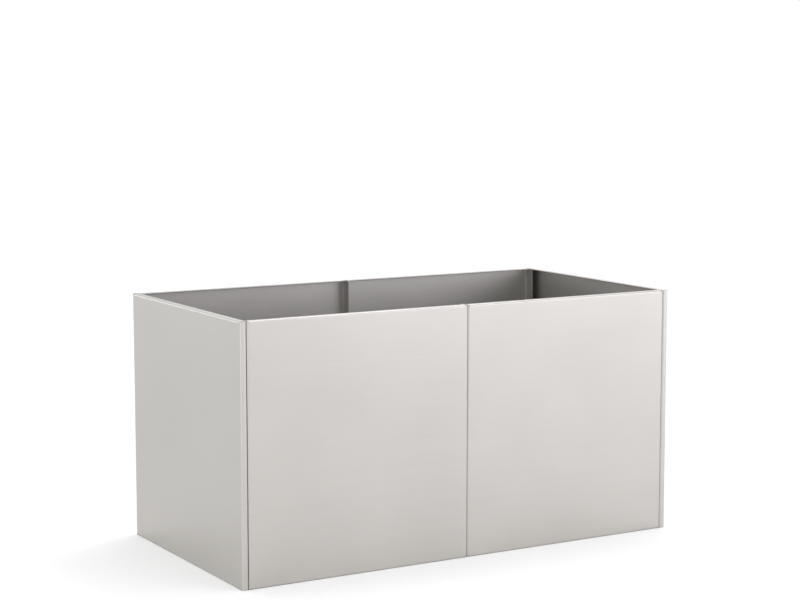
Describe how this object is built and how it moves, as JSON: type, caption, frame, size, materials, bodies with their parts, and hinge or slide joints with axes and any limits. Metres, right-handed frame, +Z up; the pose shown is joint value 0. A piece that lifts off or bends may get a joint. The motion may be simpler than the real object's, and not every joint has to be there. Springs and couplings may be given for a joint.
{
  "type": "planter",
  "caption": "Rectangular floor planter of folded satin stainless sheet, open at the top, with an inward rim, panels bolted at upright seams inside, and a ribbed floor with drain holes.",
  "frame": {"origin": "middle of the underside, on the floor", "axes": "+X along the length, -Y out of the front, +Z up"},
  "size_m": [0.782, 0.402, 0.4],
  "materials": {
    "panel_sheet": "satin stainless sheet",
    "tray_sheet": "dull mill-finish stainless sheet",
    "tie_steel": "mill-finish stainless flat bar",
    "fastener_steel": "bright stainless fasteners"
  },
  "bodies": {
    "root": {"front_left_panel": "panel_sheet", "front_right_panel": "panel_sheet", "back_left_panel": "panel_sheet", "back_right_panel": "panel_sheet", "left_end_panel": "panel_sheet", "right_end_panel": "panel_sheet", "left_floor_tray": "tray_sheet", "right_floor_tray": "tray_sheet", "tie_bar": "tie_steel", "front_left_seam_bolts": "fastener_steel", "front_left_seam_nuts": "fastener_steel", "front_middle_seam_bolts": "fastener_steel", "front_middle_seam_nuts": "fastener_steel", "front_right_seam_bolts": "fastener_steel", "front_right_seam_nuts": "fastener_steel", "back_left_seam_bolts": "fastener_steel", "back_left_seam_nuts": "fastener_steel", "back_middle_seam_bolts": "fastener_steel", "back_middle_seam_nuts": "fastener_steel", "back_right_seam_bolts": "fastener_steel", "back_right_seam_nuts": "fastener_steel"}
  },
  "joints": []
}
